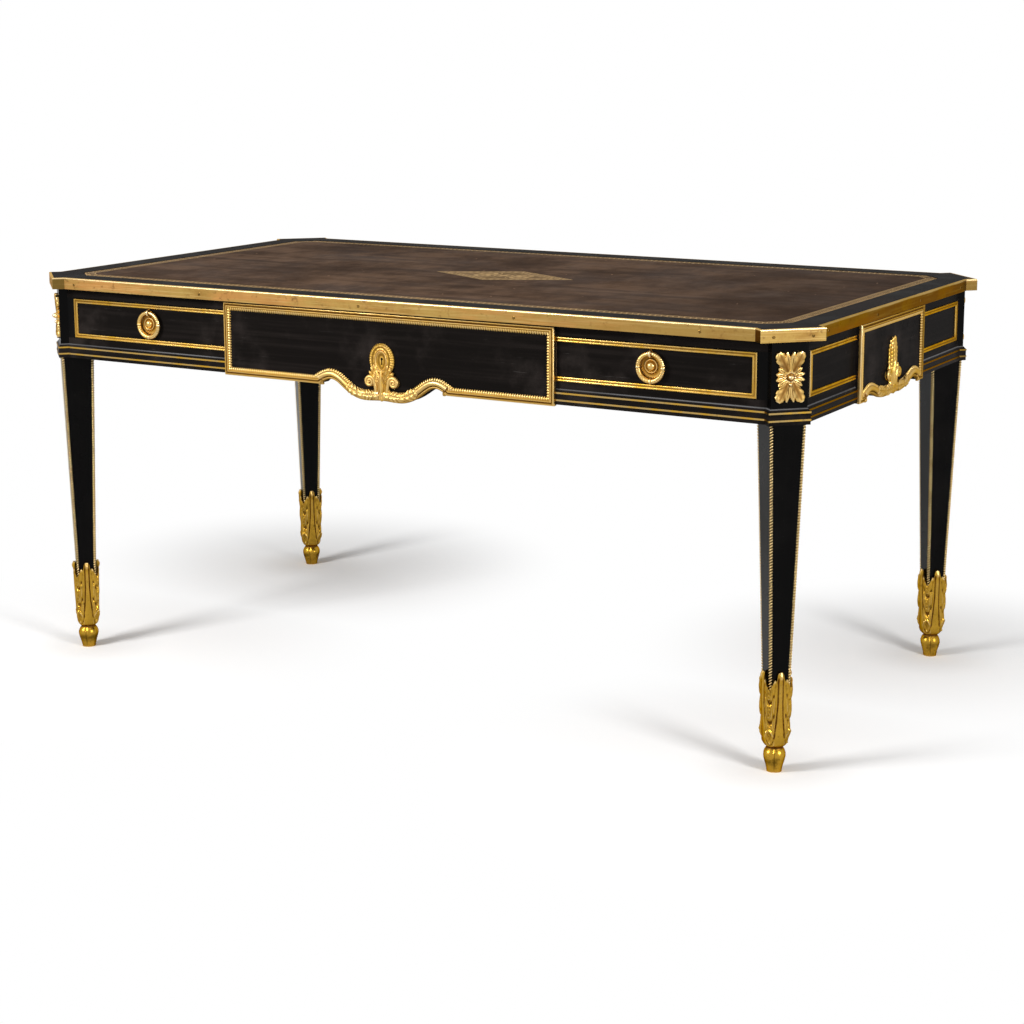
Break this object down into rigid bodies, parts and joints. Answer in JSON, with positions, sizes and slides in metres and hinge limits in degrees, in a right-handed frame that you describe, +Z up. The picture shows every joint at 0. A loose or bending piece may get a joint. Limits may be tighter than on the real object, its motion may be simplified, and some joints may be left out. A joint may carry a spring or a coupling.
{
  "type": "bureau plat",
  "caption": "Flat-topped ebonised writing desk on square tapered legs, with gilt bronze mounts, a leather writing surface, sliding drawers and ring pulls.",
  "frame": {"origin": "centre of the footprint on the floor", "axes": "+X along the length to the sitter's right, +Y to the back, +Z up"},
  "size_m": [1.677, 0.935, 0.77],
  "materials": {
    "ebonised_wood": "polished ebonised",
    "gilt_bronze": "gilt, chased and burnished",
    "brass": "worn and tarnished",
    "leather": "worn, gilt tooled",
    "oak": "plain, waxed",
    "lock_steel": "filed"
  },
  "bodies": {
    "carcass": {"back_block": "ebonised_wood", "base_mouldings": "ebonised_wood", "block_aprons": "ebonised_wood", "block_frames": "gilt_bronze", "block_leaf_mounts": "gilt_bronze", "corner_mounts": "gilt_bronze", "drawer_divider_left": "oak", "drawer_divider_right": "oak", "drawer_guides": "oak", "drawer_kickers": "oak", "drawer_runners": "oak", "edge_strip_back": "brass", "edge_strip_corners": "brass", "edge_strip_front": "brass", "edge_strip_left": "brass", "edge_strip_right": "brass", "end_block_left": "ebonised_wood", "end_block_right": "ebonised_wood", "frieze_back": "ebonised_wood", "frieze_left": "ebonised_wood", "frieze_right": "ebonised_wood", "front_drawer_rail": "ebonised_wood", "front_stiles": "ebonised_wood", "front_top_rail": "ebonised_wood", "leg_back_left": "ebonised_wood", "leg_back_right": "ebonised_wood", "leg_front_left": "ebonised_wood", "leg_front_right": "ebonised_wood", "leg_rope_mouldings": "gilt_bronze", "panel_frames": "gilt_bronze", "sabot_back_left": "gilt_bronze", "sabot_back_right": "gilt_bronze", "sabot_front_left": "gilt_bronze", "sabot_front_right": "gilt_bronze", "string_lines": "brass", "top_panel": "ebonised_wood", "writing_leather": "leather"},
    "centre_drawer": {"centre_drawer_front": "ebonised_wood", "centre_drawer_block": "ebonised_wood", "centre_drawer_apron": "ebonised_wood", "centre_drawer_frame": "gilt_bronze", "centre_drawer_sides": "oak", "centre_drawer_bottom": "oak", "escutcheon": "gilt_bronze", "lock_case": "lock_steel"},
    "centre_lock_bolt": {"lock_bolt": "lock_steel"},
    "left_drawer": {"left_drawer_front": "ebonised_wood", "left_drawer_frame": "gilt_bronze", "left_drawer_sides": "oak", "left_drawer_bottom": "oak", "left_pull_rosette": "gilt_bronze"},
    "left_ring": {"left_pull_ring": "gilt_bronze"},
    "right_drawer": {"right_drawer_front": "ebonised_wood", "right_drawer_frame": "gilt_bronze", "right_drawer_sides": "oak", "right_drawer_bottom": "oak", "right_pull_rosette": "gilt_bronze"},
    "right_ring": {"right_pull_ring": "gilt_bronze"}
  },
  "joints": [
    {"name": "centre_drawer_slide", "type": "slide", "parent": "carcass", "child": "centre_drawer", "axis": [0, -1, 0], "range_m": [0, 0.4]},
    {"name": "left_drawer_slide", "type": "slide", "parent": "carcass", "child": "left_drawer", "axis": [0, -1, 0], "range_m": [0, 0.4]},
    {"name": "right_drawer_slide", "type": "slide", "parent": "carcass", "child": "right_drawer", "axis": [0, -1, 0], "range_m": [0, 0.4]},
    {"name": "left_ring_swing", "type": "hinge", "parent": "left_drawer", "child": "left_ring", "pos_m": [-0.54276, -0.436, 0.711], "axis": [-1, 0, 0], "range_deg": [0, 90]},
    {"name": "right_ring_swing", "type": "hinge", "parent": "right_drawer", "child": "right_ring", "pos_m": [0.54276, -0.436, 0.711], "axis": [-1, 0, 0], "range_deg": [0, 90]},
    {"name": "lock_bolt_slide", "type": "slide", "parent": "centre_drawer", "child": "centre_lock_bolt", "axis": [0, 0, 1], "range_m": [0, 0.0075]}
  ]
}
